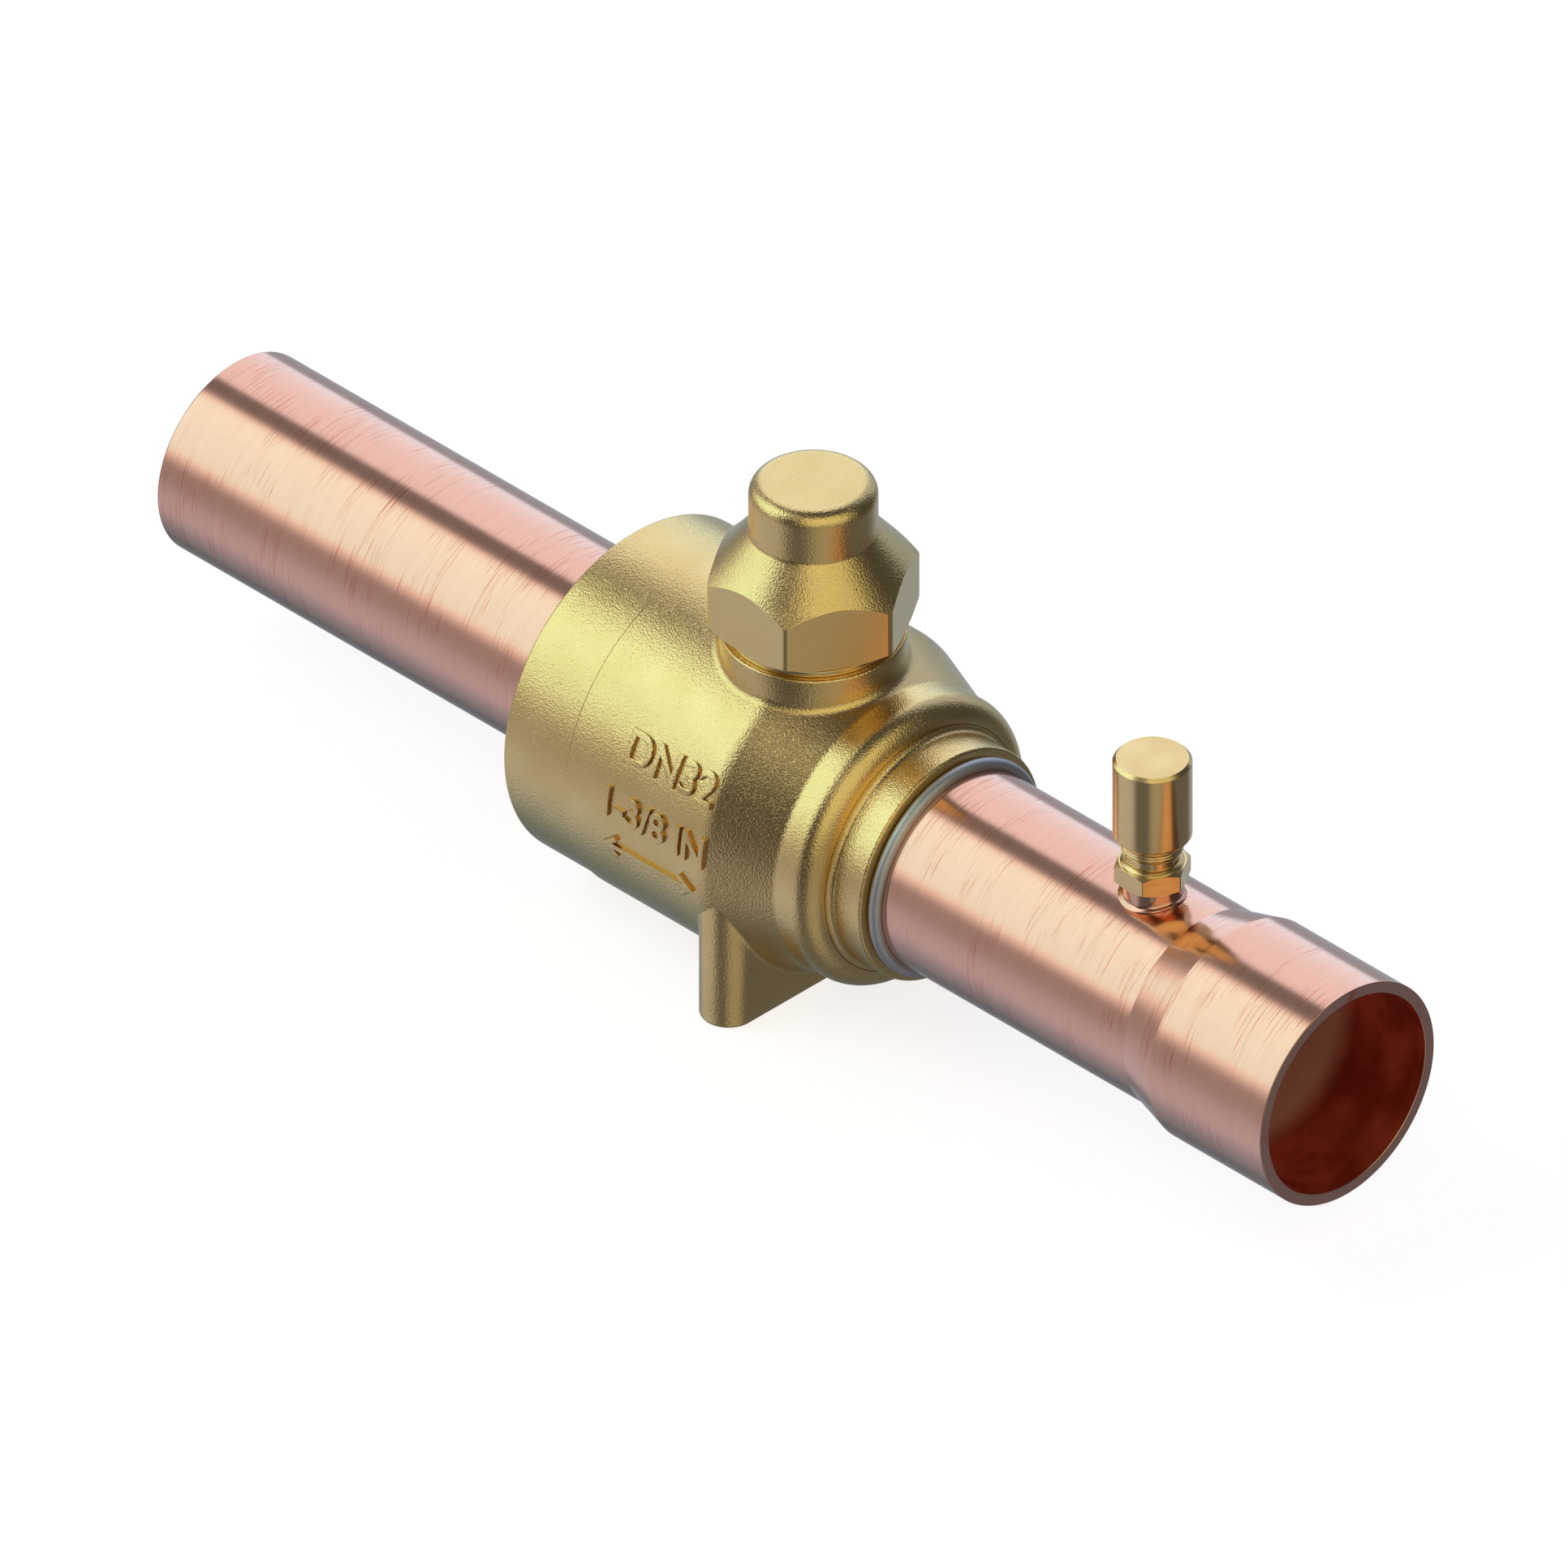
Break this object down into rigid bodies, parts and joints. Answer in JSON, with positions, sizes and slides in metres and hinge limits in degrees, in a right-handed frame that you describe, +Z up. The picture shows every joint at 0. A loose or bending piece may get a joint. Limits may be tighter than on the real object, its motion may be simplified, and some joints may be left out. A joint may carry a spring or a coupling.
{
  "type": "shut-off ball valve",
  "caption": "Brass quarter-turn ball valve with brazed copper tube ends, an expanded solder socket, a hexagonal seal cap over the stem, a mounting foot and a capped access port.",
  "frame": {"origin": "middle of the foot's underside, 4.75 mm from the stem axis towards the socket end", "axes": "+X along the pipe towards the expanded socket, +Z up the stem"},
  "size_m": [0.2498, 0.0594, 0.089],
  "materials": {
    "cast_brass": "tumbled hot-pressed brass with a fine pebbled skin",
    "turned_brass": "turned brass, satin",
    "copper_tube": "drawn copper, brushed around its girth",
    "gasket_copper": "stamped copper alloy, bright",
    "silver_solder": "frozen silver solder, glossy",
    "chromed_brass": "polished chrome plate on brass",
    "turned_steel": "turned steel",
    "ptfe": "machined white PTFE",
    "seal_rubber": "moulded black rubber"
  },
  "bodies": {
    "valve": {"valve_body": "cast_brass", "end_connector": "cast_brass", "inlet_tube": "copper_tube", "outlet_tube": "copper_tube", "inlet_braze_ring": "silver_solder", "outlet_braze_ring": "silver_solder", "inlet_seat": "ptfe", "outlet_seat": "ptfe", "closure_seal": "seal_rubber", "thrust_washer": "ptfe", "access_stub": "copper_tube", "access_fitting": "turned_brass", "core_body": "turned_brass", "core_seal": "ptfe", "core_spring": "turned_steel"},
    "stem": {"stem": "turned_steel", "ball": "chromed_brass", "stem_o_ring_lower": "seal_rubber", "stem_o_ring_upper": "seal_rubber", "stop_pin": "turned_steel"},
    "cap_gasket": {"cap_gasket": "gasket_copper"},
    "seal_cap": {"seal_cap": "cast_brass"},
    "access_cap_seal": {"access_cap_seal": "seal_rubber"},
    "access_cap": {"access_cap": "turned_brass"},
    "core_pin": {"core_pin": "turned_brass", "core_disc": "seal_rubber"}
  },
  "joints": [
    {"name": "stem_turn", "type": "hinge", "parent": "valve", "child": "stem", "pos_m": [-0.00475, 0, 0.02975], "axis": [0, 0, -1], "range_deg": [0, 90]},
    {"name": "cap_lift", "type": "slide", "parent": "valve", "child": "cap_gasket", "axis": [0, 0, 1], "range_m": [0, 0.00975]},
    {"name": "cap_turn", "type": "hinge", "parent": "cap_gasket", "child": "seal_cap", "pos_m": [-0.00475, 0, 0.06265], "axis": [0, 0, 1], "range_deg": [0, 2340]},
    {"name": "access_lift", "type": "slide", "parent": "valve", "child": "access_cap_seal", "axis": [0, 0, 1], "range_m": [0, 0.00954]},
    {"name": "access_turn", "type": "hinge", "parent": "access_cap_seal", "child": "access_cap", "pos_m": [0.07135, 0, 0.05615], "axis": [0, 0, 1], "range_deg": [0, 3240]},
    {"name": "core_press", "type": "slide", "parent": "valve", "child": "core_pin", "axis": [0, 0, -1], "range_m": [0, 0.0015], "stiffness_N_per_m": 3000, "springref_m": -0.003, "deforming": ["core_spring"]}
  ],
  "couplings": [
    {"joint": "cap_turn", "follows": "cap_lift", "rad_per_m": 4188.8},
    {"joint": "access_turn", "follows": "access_lift", "rad_per_m": 5927.5}
  ]
}
